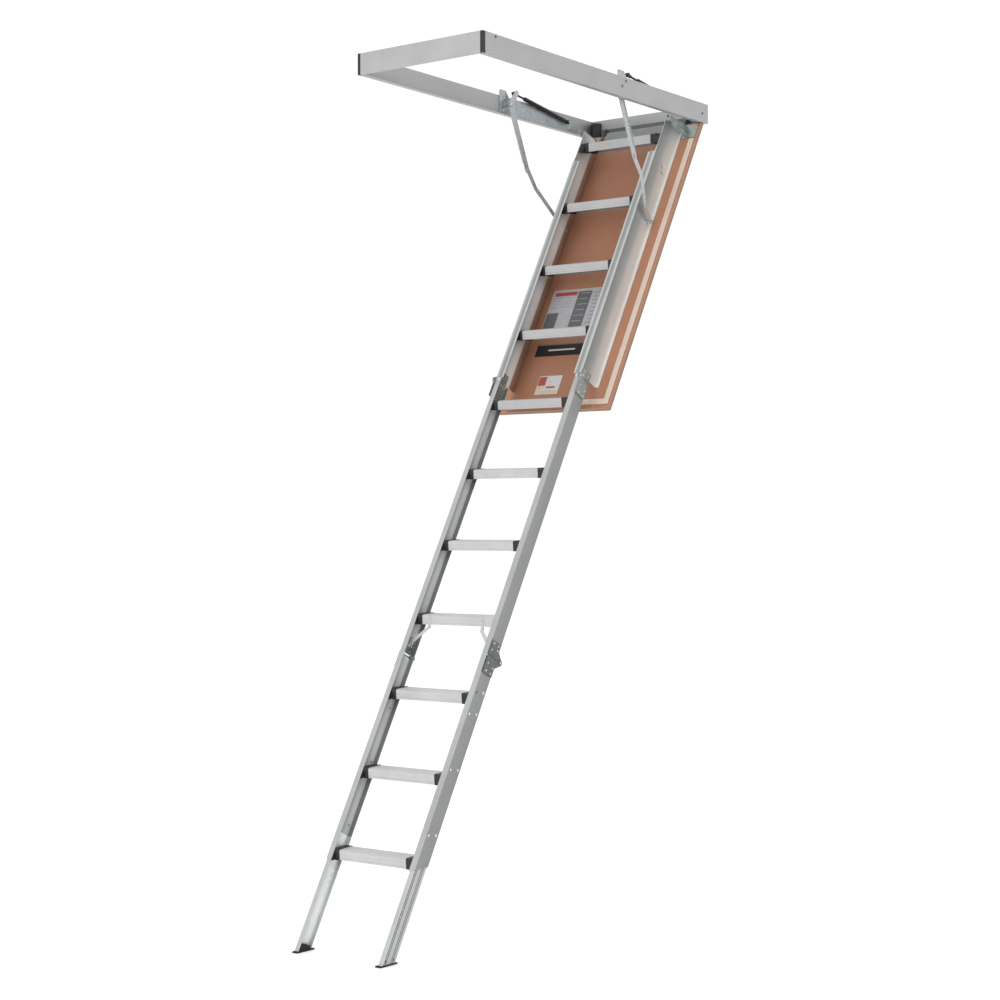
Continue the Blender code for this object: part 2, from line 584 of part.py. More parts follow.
def lower_links():
    """Narrow strap that steps inwards from the arm's knee to the bolt on the upper stile."""
    length, turn = along(LINK_PIVOT, ARM_KNEE)
    inner, t, w = 0.2038, LINK_Y[1] - LINK_Y[0], 0.0085
    run = [(-0.03, inner), (0.050, inner), (length - 0.080, LINK_Y[0]), (length + 0.03, LINK_Y[0])]
    outline = run + [(x, y + t) for x, y in reversed(run)]
    strap = combined(prism(outline, -0.02, 0.02, "Z"),
                     [prism(hull([(0, 0, w), (length, 0, w + 0.002)]), 0.19, 0.26)], "INTERSECT")
    head = rod((length, 0), 0.0060, LINK_Y[0] - 0.0040, LINK_Y[0] + 0.0005, count=6)
    link = cut(union(strap, head), rod((0, 0), 0.0043, 0.19, 0.22))
    s, dep = down_slope(*LINK_PIVOT)
    pair("lower_link", link, ZINC, door.empty, door.at(s, dep), turn - SLOPE)

    shaft = union(door.disc(s, dep, 0.0040, 0.1840, inner + t + 0.0010),
                  door.disc(s, dep, 0.0085, STILE_HALF + GAP, inner - GAP),
                  door.disc(s, dep, 0.0075, inner + t + GAP, inner + t + 0.0048, count=6),
                  door.disc(s, dep, 0.0070, 0.1835, STILE_HALF - STILE_WALL - GAP, count=6))
    tab = door.plate([(s - 0.018, dep - 0.006), (s - 0.018, dep + 0.004), (s - 0.004, dep + 0.004),
                      (s - 0.004, dep - 0.006)], STILE_HALF + GAP, 0.1985)
    pair("link_bolt", union(shaft, tab), ZINC, door.empty)


def gas_struts():
    length, turn = along(STRUT_PIVOT, LEVER_TOP)
    barrel_end = 0.281
    eye = rod((0, 0), 0.0078, STRUT_Y - 0.0078, STRUT_Y + 0.0078)
    neck = rod((STRUT_Y, 0), 0.0050, 0.004, 0.024, "X")
    tube = rod((STRUT_Y, 0), 0.0085, 0.022, barrel_end, "X")
    bore = rod((STRUT_Y, 0), 0.0046, 0.135, barrel_end + 0.01, "X")
    body = cut(union(eye, neck, tube), rod((0, 0), 0.0034, 0.2, 0.3), bore)
    pair("gas_cylinder", body, BLACK, None, lift(STRUT_PIVOT), turn)

    shaft = rod((STRUT_Y, 0), 0.0040, -(length - 0.155), -0.004, "X")
    socket = rod((0, 0), 0.0078, STRUT_Y - 0.0078, STRUT_Y + 0.0078)
    collar = rod((STRUT_Y, 0), 0.0056, -0.022, -0.004, "X")
    pair("gas_rod", union(socket, collar, shaft), BLACK, None, lift(LEVER_TOP), turn)


hatch_frame()
frame_hinge()
door_panel()
hinge_brackets()
stiles()
treads()
braces()
fold_hinges()
legs()
arm_brackets()
upper_arms()
lower_links()
gas_struts()

for mesh in [m for m in bpy.data.meshes if m.users == 0]:
    bpy.data.meshes.remove(mesh)
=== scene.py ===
import json
from math import atan2, cos, hypot, pi, radians, sin

import bmesh
import bpy
from mathutils import Matrix, Vector

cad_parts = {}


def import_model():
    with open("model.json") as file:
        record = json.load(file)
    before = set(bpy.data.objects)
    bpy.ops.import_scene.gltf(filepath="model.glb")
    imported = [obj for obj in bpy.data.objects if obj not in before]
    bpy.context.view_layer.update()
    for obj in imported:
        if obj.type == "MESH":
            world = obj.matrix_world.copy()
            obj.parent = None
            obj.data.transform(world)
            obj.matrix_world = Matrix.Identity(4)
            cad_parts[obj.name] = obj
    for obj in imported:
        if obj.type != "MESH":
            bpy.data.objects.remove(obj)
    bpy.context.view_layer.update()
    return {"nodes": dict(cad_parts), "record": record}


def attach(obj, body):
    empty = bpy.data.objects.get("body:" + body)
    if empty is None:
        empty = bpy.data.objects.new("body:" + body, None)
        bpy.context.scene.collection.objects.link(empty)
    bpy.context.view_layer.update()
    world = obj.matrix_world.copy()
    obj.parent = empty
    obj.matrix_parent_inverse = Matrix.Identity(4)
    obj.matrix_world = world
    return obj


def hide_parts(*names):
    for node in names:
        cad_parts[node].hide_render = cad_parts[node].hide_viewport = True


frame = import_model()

scene = bpy.context.scene
BODY = {node: body for body, nodes in frame["record"]["behaviour"]["bodies"].items() for node in nodes}
SIDES = {"left": 1, "right": -1}

# ---- the part's driving dimensions, in metres ---------------------------------------------------
FRAME_LENGTH, FRAME_WIDTH, FRAME_HEIGHT = 1.365, 0.550, 0.073
LOW = -FRAME_HEIGHT / 2         # height of the frame's bottom plane
FLOOR = 2.913                   # from there down to the floor
# the ladder's slope, the x where its front plane meets the frame's bottom, and its stiles
SLOPE, TOP_X = radians(61.3), -0.166
SLOPE_SIN, SLOPE_COS = sin(SLOPE), cos(SLOPE)
STILE_HALF, STILE_DEPTH, STILE_WALL = 0.1905, 0.0587, 0.002
DOOR_DEPTH = 0.1092             # from the ladder's front plane to the door
TREAD_FIRST, TREAD_PITCH, TREAD_DEEP, TREAD_TALL = 0.0631, 0.2895, 0.064, 0.034
TREAD_TILT = radians(4.0)
TREAD_HALF, CAP_HALF, TENON_HALF = 0.152, 0.168, 0.1858
# the folds' pivots as (down the slope, depth behind the front)
FOLD_A, FOLD_B = (1.147, -0.005), (2.239, 0.074)
# pivots of arm and strut as (x, height above the frame's bottom)
ARM_PIVOT, LEVER_TOP, STRUT_PIVOT = (-0.557, 0.040), (-0.520, 0.090), (-0.180, 0.041)
STRUT_Y = 0.2600


# ---- materials ----------------------------------------------------------------------------------
class Look:
    """A Principled material with helpers for its procedural detail."""

    def __init__(self, name, roughness, metallic=0.0):
        self.mat = bpy.data.materials.new(name)
        self.mat.use_nodes = True
        self.tree = self.mat.node_tree
        self.shader = self.tree.nodes["Principled BSDF"]
        self.shader.inputs["Roughness"].default_value = roughness
        self.shader.inputs["Metallic"].default_value = metallic
        source = self.tree.nodes.new("ShaderNodeTexCoord")
        self.where, self.normal = source.outputs["Object"], source.outputs["Normal"]

    def node(self, kind, inputs=(), **settings):
        node = self.tree.nodes.new("ShaderNode" + kind)
        for key, value in settings.items():
            setattr(node, key, value)
        for key, value in dict(inputs).items():
            if isinstance(value, bpy.types.NodeSocket):
                self.tree.links.new(value, node.inputs[key])
            else:
                node.inputs[key].default_value = value
        return node

    def grain(self, size, tilt=0.0, detail=3.0, roughness=0.55, offset=0.0):
        """Noise whose features are about size = (x, y, z) metres, in axes tilted down the slope."""
        place = self.node("Mapping", {"Vector": self.where, "Location": (offset, offset, offset),
                                      "Rotation": (0, -tilt, 0), "Scale": size}, vector_type="TEXTURE")
        return self.node("TexNoise", {"Vector": place.outputs[0], "Scale": 1.0, "Detail": detail,
                                      "Roughness": roughness}).outputs["Fac"]

    def cells(self, size):
        place = self.node("Mapping", {"Vector": self.where, "Scale": (size,) * 3}, vector_type="TEXTURE")
        return self.node("TexVoronoi", {"Vector": place.outputs[0], "Scale": 1.0})

    def mix(self, a, b, share=0.5):
        return self.node("Mix", {0: share, 2: a, 3: b}, data_type="FLOAT").outputs[0]

    def spread(self, value, low, high, start=0.3, end=0.7):
        return self.node("MapRange", {"Value": value, "From Min": start, "From Max": end, "To Min": low,
                                      "To Max": high}).outputs[0]

    def ramp(self, value, stops):
        node = self.node("ValToRGB", {"Fac": value})
        bar = node.color_ramp.elements
        while len(bar) < len(stops):
            bar.new(0.5)
        for element, (place, colour) in zip(bar, stops):
            element.position, element.color = place, (*colour, 1)
        return node.outputs[0]

    def paint_light(self, stops, tilt=0.0, across=False, inner=None):
        """Multiply the colour by (place, gain) stops, painting light and shade into it: depth behind the
        front, or distance across.

        Faces turned towards the middle of the ladder take the inner stops, where those are given.
        """
        reach, most, inside = 0.30, 4.0, -0.05
        place = self.node("Mapping", {"Vector": self.where, "Location": (TOP_X, 0, LOW),
                                      "Rotation": (0, -tilt, 0)}, vector_type="TEXTURE")
        part = self.node("SeparateXYZ", {0: place.outputs[0]}).outputs[1 if across else 2]
        size = self.node("Math", {0: part}, operation="ABSOLUTE")
        share = self.node("Math", {0: size.outputs[0], 1: 1 / reach}, operation="MULTIPLY").outputs[0]

        def gain(places):
            tones = [(where, (g, g, g) if isinstance(g, (int, float)) else g) for where, g in places]
            return self.ramp(share, [(where / reach, tint(tone, 1 / most)) for where, tone in tones])

        factor = gain(stops)
        if inner:
            turned = self.node("VectorMath", {0: self.where, 1: self.normal}, operation="MULTIPLY")
            side = self.node("SeparateXYZ", {0: turned.outputs[0]}).outputs[1]
            outward = self.node("Math", {0: side, 1: inside}, operation="GREATER_THAN").outputs[0]
            factor = self.node("Mix", {0: outward, 6: gain(inner), 7: factor}, data_type="RGBA").outputs[2]
        base = self.shader.inputs["Base Color"].links[0].from_socket
        shaded = self.node("VectorMath", {0: base, 1: factor}, operation="MULTIPLY").outputs[0]
        self.colour(self.node("VectorMath", {0: shaded, "Scale": most}, operation="SCALE").outputs[0])

    def colour(self, socket):
        self.tree.links.new(socket, self.shader.inputs["Base Color"])

    def rough(self, socket):
        self.tree.links.new(socket, self.shader.inputs["Roughness"])

    def bump(self, height, distance, strength=1.0):
        last = self.shader.inputs["Normal"].links
        inputs = {"Height": height, "Distance": distance, "Strength": strength}
        if last:
            inputs["Normal"] = last[0].from_socket
        self.tree.links.new(self.node("Bump", inputs).outputs[0], self.shader.inputs["Normal"])


def tint(colour, gain):
    """The colour times a gain, held at 1."""
    return tuple(min(1.0, c * gain) for c in colour)


def extruded(name, colour, streak, tilt=0.0, roughness=0.42, metallic=0.5, painted_light=None, inner=None,
             across=False):
    """Mill-finish aluminium: die lines along the bar, cloudy oxide, handling scratches and scuffs; optional
    painted shade, highlights and reflection from gain stops.
    """
    look = Look(name, roughness, metallic)
    lines = look.grain(streak, tilt, 4.0, 0.7)
    cloud = look.grain((0.16, 0.10, 0.10), tilt, 3.0)
    speck = look.grain((0.0022, 0.0022, 0.0022), tilt, 2.0)
    tone = look.mix(look.mix(lines, cloud, 0.55), speck, 0.12)
    scuff = look.grain(tuple(v * k for v, k in zip(streak, (0.35, 3.0, 3.0))), tilt, 5.0, 0.75, 3.7)
    look.colour(look.ramp(look.mix(tone, look.spread(scuff, 0.3, 0.75, 0.62, 0.72), 0.22),
                          [(0.25, tint(colour, 0.80)), (0.50, colour), (0.75, tint(colour, 1.16))]))
    # painted shade, painted highlights and a painted reflection of the door, laid into the colour by depth
    # behind the front, or across the ladder for the lip
    if painted_light:
        look.paint_light(painted_light, tilt, across, inner)
    look.rough(look.spread(look.mix(lines, cloud, 0.5), roughness - 0.09, roughness + 0.13))
    look.bump(lines, 0.00012, 0.6)
    look.bump(look.grain((0.0011, 0.0011, 0.0011), tilt, 2.0), 0.00005, 0.5)
    return look.mat


def zinc_coated(name, colour, roughness, metallic=0.8, cell=0.011, dark=0.66, light=1.38):
    """Galvanised sheet: crystal spangle, white bloom and fine pitting."""
    look = Look(name, roughness, metallic)
    spangle = look.cells(cell)
    flake = look.node("SeparateColor", {0: spangle.outputs["Color"]}).outputs[0]
    cloud = look.grain((0.045, 0.045, 0.045), 0.0, 5.0, 0.7)
    bloom = look.grain((0.012, 0.012, 0.012), 0.0, 6.0, 0.75, 1.9)
    tone = look.mix(look.mix(flake, cloud, 0.55), look.spread(bloom, 0.35, 0.9, 0.5, 0.72), 0.35)
    look.colour(look.ramp(tone, [(0.20, tint(colour, dark)), (0.48, colour), (0.80, tint(colour, light))]))
    look.rough(look.spread(look.mix(flake, bloom, 0.5), roughness - 0.1, roughness + 0.16))
    look.bump(look.grain((0.0016, 0.0016, 0.0016), 0.0, 3.0), 0.0001, 0.6)
    look.bump(flake, 0.00006, 0.4)
    return look.mat


def moulded(name, colour, roughness, grit=0.0009, depth=0.00008):
    """Moulded black plastic or rubber: fine texture, dusty patches and worn, greyer highs."""
    look = Look(name, roughness)
    fine = look.grain((grit,) * 3, 0.0, 2.0)
    dust = look.grain((0.03, 0.03, 0.03), 0.0, 5.0, 0.7)
    look.colour(look.ramp(look.mix(dust, fine, 0.3), [(0.3, colour), (0.55, tint(colour, 1.6)),
                                                      (0.78, tint(colour, 3.2))]))
    look.rough(look.spread(dust, roughness - 0.1, roughness + 0.15))
    look.bump(fine, depth, 0.8)
    return look.mat


def hardboard(name, colour, outside_light=1.0):
    """Tempered hardboard: matted fibres, darker flecks, faint rolling marks down the sheet."""
    look = Look(name, 0.58)
    fibre = look.grain((0.0040, 0.0011, 0.0040), SLOPE, 4.0, 0.7)
    cross = look.grain((0.0011, 0.0038, 0.0011), SLOPE, 3.0, 0.7, 5.1)
    fleck = look.grain((0.0016,) * 3, SLOPE, 2.0, 0.5, 2.3)
    cloud = look.grain((0.22, 0.14, 0.2), SLOPE, 4.0, 0.6)
    tone = look.mix(look.mix(fibre, cross, 0.5), cloud, 0.45)
    flecked = look.mix(tone, look.spread(fleck, 0.5, 0.1, 0.60, 0.70), 0.25)
    look.colour(look.ramp(flecked, [(0.20, tint(colour, 0.62)), (0.46, colour),
                                    (0.72, tint(colour, 1.30))]))
    if outside_light != 1.0:       # painted light: the sheet is made brighter outside the ladder, where the stiles don't shade it
        look.paint_light([(0, 1.0), (0.190, 1.0), (0.198, outside_light)], SLOPE, True)
    look.rough(look.spread(look.mix(tone, fleck, 0.3), 0.46, 0.68))
    look.bump(look.mix(fibre, cross, 0.5), 0.00018, 0.7)
    return look.mat


def board_edge(name, colour):
    """Raw sawn edge of the door's core: layered strands and saw marks."""
    look = Look(name, 0.8)
    strand = look.grain((0.018, 0.018, 0.0012), SLOPE, 5.0, 0.7)
    saw = look.grain((0.0016, 0.05, 0.05), SLOPE, 2.0, 0.6, 1.1)
    look.colour(look.ramp(look.mix(strand, saw, 0.35), [(0.25, tint(colour, 0.6)), (0.5, colour),
                                                        (0.75, tint(colour, 1.35))]))
    look.bump(strand, 0.0004, 0.8)
    return look.mat


def foam(name, colour):
    """Soft weather strip: closed cells and slightly grimy dips."""
    look = Look(name, 0.72)
    pores = look.cells(0.0016).outputs["Distance"]
    grime = look.grain((0.05, 0.05, 0.05), SLOPE, 5.0, 0.65)
    look.colour(look.ramp(look.mix(grime, pores, 0.3), [(0.2, tint(colour, 0.82)), (0.5, colour),
                                                        (0.8, tint(colour, 1.06))]))
    look.bump(pores, 0.00025, 0.6)
    look.shader.inputs["Subsurface Weight"].default_value = 0.08
    look.shader.inputs["Subsurface Scale"].default_value = 0.004
    return look.mat


def printed(name, colour):
    """Sticker film with faint creases and rubbed ink."""
    roughness = 0.42
    look = Look(name, roughness)
    rub = look.grain((0.012, 0.012, 0.012), SLOPE, 6.0, 0.7)
    look.colour(look.ramp(rub, [(0.3, tint(colour, 0.86)), (0.5, colour), (0.75, tint(colour, 1.1))]))
    look.rough(look.spread(rub, roughness - 0.08, roughness + 0.16))
    look.bump(look.grain((0.02, 0.006, 0.02), SLOPE, 3.0), 0.0003, 0.3)
    return look.mat


def painted_groove_shade():
    """Painted shade for seven grooves down a leg's outer face, with painted highlights on their rims: two
    deep pairs and three faint ones.
    """
    start, span, count, deep = 0.0023, 0.0541, 7, (0, 1, 4, 5)
    rim, bed, pale = 0.0024, 0.0016, 1.22
    tones = [(0, 1.0), (0.0028, 1.2)]
    for k in range(count):
        middle = start + span * (k + 1) / (count + 1)
        dark = 0.34 if k in deep else 0.95
        tones += [(middle - rim, pale), (middle - bed, dark), (middle + bed, dark), (middle + rim, pale)]
    return tones


# die lines along the ladder and the frame's sides, and across them
ALONG, CROSSWAYS = (0.30, 0.0011, 0.0011), (0.0011, 0.30, 0.0011)
BARE = (0.500, 0.517, 0.510)
# painted shade and highlights: colour gains by depth behind the front plane, on the webs' outer and
# inner faces; the inner faces of the upper webs take a painted reflection of the door, brown towards it
UPPER_OUT = [(0, 1.30), (0.0015, 1.30), (0.0050, 0.45), (0.040, 0.70), (0.075, 1.40), (0.100, 1.80)]
UPPER_IN = [(0, 1.20), (0.0030, 1.20), (0.0045, 0.78), (0.030, 1.30), (0.055, 1.80), (0.074, 1.80),
            (0.079, (0.80, 0.50, 0.36)), (0.109, (0.56, 0.29, 0.20))]
STILE_OUT = [(0, 1.02), (0.0012, 1.02), (0.0040, 0.58), (0.058, 0.53)]
STILE_IN = [(0, 0.98), (0.0030, 0.98), (0.0045, 0.29), (0.018, 0.40), (0.032, 0.90), (0.050, 1.55)]
LEG_OUT = painted_groove_shade()
LEG_IN = [(0, 1.16), (0.0045, 1.08), (0.0060, 0.58), (0.020, 1.35), (0.045, 1.85)]
# painted shade in the lip's channel and painted highlights either side: gains by distance from the ladder's
# middle
LIP_PAINTED_LIGHT = [(0, 1.25), (0.164, 1.25), (0.171, 0.66), (0.180, 0.72), (0.186, 1.15), (0.192, 1.25)]

FRAME_SIDE = extruded("frame_side_aluminium", (0.430, 0.430, 0.433), ALONG, roughness=0.46)
FRAME_END = extruded("frame_end_aluminium", (0.480, 0.483, 0.490), CROSSWAYS, roughness=0.46)
UPPER_LEFT = extruded("upper_left_aluminium", BARE, ALONG, SLOPE, 0.46, 0.10, UPPER_OUT, UPPER_IN)
UPPER_RIGHT = extruded("upper_right_aluminium", BARE, ALONG, SLOPE, 0.42, 0.4, UPPER_OUT, UPPER_IN)
LIP = extruded("front_lip_aluminium", BARE, ALONG, SLOPE, 0.40, 0.4, LIP_PAINTED_LIGHT, across=True)
LEFT = extruded("left_stile_aluminium", BARE, ALONG, SLOPE, 0.44, 0.20, STILE_OUT, STILE_IN)
RIGHT = extruded("right_stile_aluminium", BARE, ALONG, SLOPE, 0.40, 0.4, STILE_OUT, STILE_IN)
LEFT_LEG = extruded("left_leg_aluminium", BARE, ALONG, SLOPE, 0.36, 0.4, LEG_OUT, LEG_IN)
RIGHT_LEG = extruded("right_leg_aluminium", BARE, ALONG, SLOPE, 0.36, 0.4, LEG_OUT, LEG_IN)
TREAD = extruded("tread_aluminium", (0.64, 0.64, 0.645), CROSSWAYS, metallic=0.35)
UPPER_TREAD = extruded("upper_tread_aluminium", (0.53, 0.525, 0.53), CROSSWAYS, metallic=0.35)
GALVANISED = zinc_coated("galvanised_steel", (0.37, 0.44, 0.425), 0.42, 0.55)
POST = zinc_coated("bracket_steel", (0.42, 0.465, 0.485), 0.40, 0.5)
ARM_STEEL = zinc_coated("arm_steel", (0.47, 0.50, 0.50), 0.36, 0.6, 0.008, 0.84, 1.14)
STRAP_STEEL = zinc_coated("strap_steel", (0.27, 0.28, 0.28), 0.42, 0.5, 0.010, 0.80, 1.2)
LEAF_STEEL = zinc_coated("upper_leaf_steel", (0.30, 0.335, 0.325), 0.42, 0.6, cell=0.006)
HINGE_STEEL = zinc_coated("hinge_steel", (0.150, 0.165, 0.158), 0.44, 0.6, cell=0.006)
ZINC = zinc_coated("bright_zinc", (0.60, 0.615, 0.61), 0.30, 0.9, 0.005)
PLASTIC = moulded("black_plastic", (0.010, 0.010, 0.011), 0.48)
STRUT = moulded("strut_black", (0.009, 0.009, 0.010), 0.32, 0.0004, 0.00002)
RUBBER = moulded("shoe_rubber", (0.011, 0.011, 0.011), 0.78, 0.0014, 0.0002)
BOARD = hardboard("hardboard", (0.41, 0.190, 0.112), 1.22)
BOARD_BACK = hardboard("hardboard_back", (0.41, 0.190, 0.112))
CORE = board_edge("board_core", (0.30, 0.212, 0.155))
FOAM = foam("cream_foam", (0.78, 0.635, 0.53))
PALE_INK = printed("label_pale", (0.50, 0.50, 0.53))
WHITE_INK = printed("label_white", (0.66, 0.65, 0.64))
GREY_INK = printed("label_grey", (0.14, 0.145, 0.15))
DARK_INK = printed("label_lines", (0.32, 0.32, 0.34))
TAN_INK = printed("label_tan", (0.66, 0.57, 0.42))
RED_INK = printed("label_red", (0.44, 0.085, 0.065))
BLACK_INK = printed("label_black", (0.018, 0.016, 0.015))


# ---- shapes -------------------------------------------------------------------------------------
def world(s, dep, y=0.0):
    """Frame point of a place on the ladder: distance down the slope, depth behind its front."""
    return Vector((TOP_X - s * SLOPE_COS + dep * SLOPE_SIN, y, -s * SLOPE_SIN - dep * SLOPE_COS + LOW))


def at(x, y, z):
    return Matrix.Translation((x, y, z))


STILL = Matrix.Identity(4)
ON_SLOPE = Matrix.Rotation(-SLOPE, 4, "Y")      # local +X up the slope, +Z towards the climber
ON_LADDER = at(TOP_X, 0, LOW) @ ON_SLOPE        # the same axes, from the ladder's top front corner


def facing(sign):
    """Turns a head modelled along +Y to stand along sign * Y."""
    return STILL if sign > 0 else Matrix.Rotation(pi, 4, "X")


def on_web(s, dep, y, sign):
    """Stands a head on the web of one side, pointing away from the ladder's middle."""
    return at(*world(s, dep, sign * y)) @ facing(sign)


def finish_mesh(bm):
    """A mesh out of the edited faces, with its normals turned outwards."""
    bmesh.ops.recalc_face_normals(bm, faces=bm.faces)
    mesh = bpy.data.meshes.new("shape")
    bm.to_mesh(mesh)
    bm.free()
    return mesh


def prism(outline, lo, hi, axis="Y"):
    """Closed solid from an outline drawn in the other two axes, from lo to hi along one axis."""
    place = {"X": lambda a, b, t: (t, a, b),
             "Y": lambda a, b, t: (a, t, b),
             "Z": lambda a, b, t: (a, b, t)}[axis]
    bm = bmesh.new()
    rings = [[bm.verts.new(place(a, b, t)) for a, b in outline] for t in (lo, hi)]
    for ring in rings:
        bm.faces.new(ring)
    for k in range(len(outline)):
        bm.faces.new((rings[0][k - 1], rings[0][k], rings[1][k], rings[1][k - 1]))
    return finish_mesh(bm)


def lathe(profile, count=24, axis="Y"):
    """Closed solid of revolution from (distance along the axis, radius), both ends at radius 0."""
    turn = {"X": lambda t, r, a: (t, r * cos(a), r * sin(a)),
            "Y": lambda t, r, a: (r * cos(a), t, r * sin(a))}[axis]
    bm = bmesh.new()
    tips = [bm.verts.new(turn(profile[0][0], 0, 0)), bm.verts.new(turn(profile[-1][0], 0, 0))]
    rings = [[bm.verts.new(turn(t, r, 2 * pi * k / count)) for k in range(count)]
             for t, r in profile[1:-1]]
    for k in range(count):
        bm.faces.new((tips[0], rings[0][k], rings[0][k - 1]))
        bm.faces.new((tips[1], rings[-1][k - 1], rings[-1][k]))
        for one, two in zip(rings, rings[1:]):
            bm.faces.new((one[k - 1], one[k], two[k], two[k - 1]))
    return finish_mesh(bm)


def rounded(outline, radius, steps=3):
    """The same outline with each corner turned into a small arc."""
    points = []
    for k, point in enumerate(outline):
        around = (point, outline[k - 1], outline[(k + 1) % len(outline)])
        corner, before, after = (Vector(p) for p in around)
        reach = min(radius, (before - corner).length * 0.45, (after - corner).length * 0.45)
        start = corner + (before - corner).normalized() * reach
        end = corner + (after - corner).normalized() * reach
        for j in range(steps + 1):
            t = j / steps
            points.append(tuple(start * (1 - t) ** 2 + corner * 2 * t * (1 - t) + end * t ** 2))
    return points


def sided(mesh, sign):
    """A copy of a shape modelled on the left, mirrored for the right."""
    copy = mesh.copy()
    if sign < 0:
        copy.transform(Matrix.Scale(-1, 4, (0, 1, 0)))
        copy.flip_normals()
    return copy


def gathered(parts):
    """One mesh out of (mesh, matrix) pairs."""
    bm = bmesh.new()
    for mesh, matrix in parts:
        placed = mesh.copy()
        placed.transform(matrix)
        bm.from_mesh(placed)
    result = bpy.data.meshes.new("set")
    bm.to_mesh(result)
    bm.free()
    return result


def piece(name, mesh, look, body, replaces=(), bevel=0.0, angle=35, matrix=None):
    """A finished piece that rides on a body and may stand for CAD nodes."""
    mesh.name = name
    mesh.materials.clear()
    mesh.materials.append(look)
    obj = bpy.data.objects.new(name, mesh)
    scene.collection.objects.link(obj)
    if matrix is not None:
        mesh.transform(matrix)
    if bevel:
        edge = obj.modifiers.new("edges", "BEVEL")
        edge.width, edge.segments = bevel, 2
        edge.limit_method, edge.angle_limit = "ANGLE", radians(angle)
        edge.harden_normals = True
    mesh.shade_smooth()
    mesh.set_sharp_from_angle(angle=radians(angle))
    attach(obj, body)
    if replaces:
        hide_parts(*replaces)
    return obj


def dressed(node, look, bevel=0.0006):
    """A CAD node's own shape with its edges broken and its flat faces made whole."""
    source = frame["nodes"][node]
    bm = bmesh.new()
    bm.from_mesh(source.data)
    same, flat = 2e-6, radians(0.4)
    bmesh.ops.remove_doubles(bm, verts=bm.verts, dist=same)
    bmesh.ops.dissolve_limit(bm, angle_limit=flat, verts=bm.verts, edges=bm.edges)
    mesh = bpy.data.meshes.new(node)
    bm.to_mesh(mesh)
    bm.free()
    piece("visible_" + node, mesh, look, BODY[node], [node], bevel)


def dressed_pair(name, look, bevel=0.0006):
    for side in SIDES:
        dressed(name + "_" + side, look, bevel)


DOME = [(0.0, 0.0), (0.0, 1.0), (0.25, 0.97), (0.6, 0.78), (0.85, 0.45), (1.0, 0.0)]
TRUSS = [(0.0, 0.0), (0.0, 1.0), (0.45, 0.93), (0.85, 0.68), (1.0, 0.42), (0.92, 0.34), (0.30, 0.30),
         (0.28, 0.0)]
HEAD_FACETS = 20


def dome(radius, height):
    """Rivet or button head standing along +Y."""
    return lathe([(t * height, r * radius) for t, r in DOME], HEAD_FACETS)


def screw(radius, height):
    """Truss head along +Y with a sunk drive."""
    return lathe([(t * height, r * radius) for t, r in TRUSS], HEAD_FACETS)


# ---- hatch frame --------------------------------------------------------------------------------
def hatch_frame():
    dressed_pair("frame_side", FRAME_SIDE, 0.0007)
    dressed("frame_front_end", FRAME_END, 0.0007)
    dressed("frame_hinge_end", FRAME_END, 0.0007)
    dressed_pair("frame_corner_seal", PLASTIC, 0.0009)
    dressed_pair("hinge_corner_block", PLASTIC, 0.0015)
    dressed("hinge_strap", HINGE_STEEL, 0.0005)
    dressed_pair("arm_bracket", POST, 0.0006)

    half = FRAME_WIDTH / 2
    head, heads = screw(0.0052, 0.0024), []
    for sign in SIDES.values():
        for x, z in ((-0.551, 0.060), (-0.574, 0.038), (-0.040, 0.034), (-1.300, 0.064)):
            heads.append((head, at(x, sign * half, z + LOW) @ facing(sign)))
    inside = Matrix.Rotation(pi / 2, 4, "Z")        # heads on the hinge end face the hatch
    heads += [(head, at(-0.0025, y, 0.053 + LOW) @ inside) for y in (-0.093, 0.093)]
    heads += [(head, at(-0.0050, y, 0.020 + LOW) @ inside) for y in (-0.18, -0.09, 0.0, 0.09, 0.18)]
    piece("frame_screw_heads", gathered(heads), HINGE_STEEL, "frame")

    # drawn beads that stiffen the outer faces, one near the top and one near the bottom
    inset, sunk, proud, tall = 0.0075, 0.0009, 0.0016, 0.0022
    angles = [pi * k / 8 - pi / 2 for k in range(9)]
    for side, sign in SIDES.items():
        beads = []
        for z in (LOW + inset, -LOW - inset):
            arc = [(half - sunk + proud * cos(a), z + tall * sin(a)) for a in angles]
            beads.append((sided(prism(arc, -FRAME_LENGTH + 0.0135, -0.0008, "X"), sign), STILL))
        piece("frame_bead_" + side, gathered(beads), FRAME_SIDE, "frame")


# ---- door ---------------------------------------------------------------------------------------
def plate_on_slope(s, y, dep, thick, radius=0.002):
    """Thin plate lying on the slope, its back at depth dep."""
    outline = rounded([(-s[1], y[0]), (-s[0], y[0]), (-s[0], y[1]), (-s[1], y[1])], radius)
    mesh = prism(outline, -dep, -dep + thick, "Z")
    mesh.transform(ON_LADDER)
    return mesh


